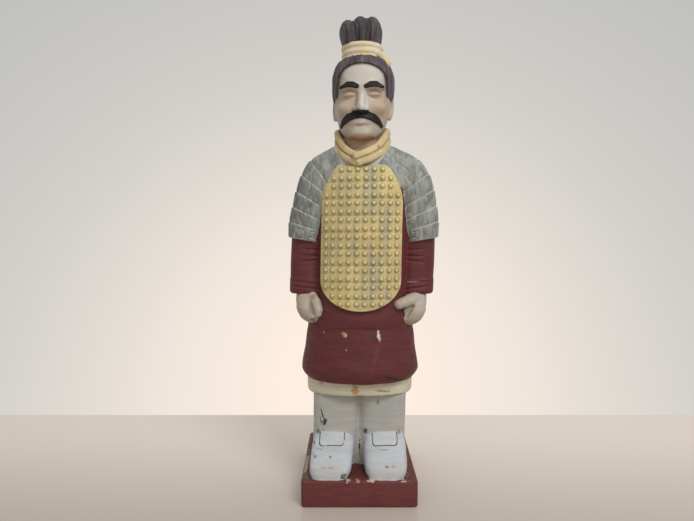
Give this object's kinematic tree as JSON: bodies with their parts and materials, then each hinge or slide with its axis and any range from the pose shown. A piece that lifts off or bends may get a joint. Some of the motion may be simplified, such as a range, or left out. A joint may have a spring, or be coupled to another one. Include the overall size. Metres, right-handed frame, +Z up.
{
  "type": "terracotta warrior statue",
  "caption": "Standing ancient Chinese warrior in studded plate armour with a topknot, cast and painted in one piece with its square plinth.",
  "frame": {"origin": "middle of the plinth's underside", "axes": "+Z up; the figure faces -Y, and +X is on the viewer's right when looking at its face"},
  "size_m": [0.3226, 0.265, 0.9943],
  "materials": {
    "painted_terracotta": "matt hand-brushed paint on fired clay: dark red robe and plinth, ochre breastplate, collar and hair tie, grey shoulder guards, off-white legs and shoes, worn and chipped at the edges"
  },
  "bodies": {
    "root": {"terracotta_warrior": "painted_terracotta"}
  },
  "joints": []
}
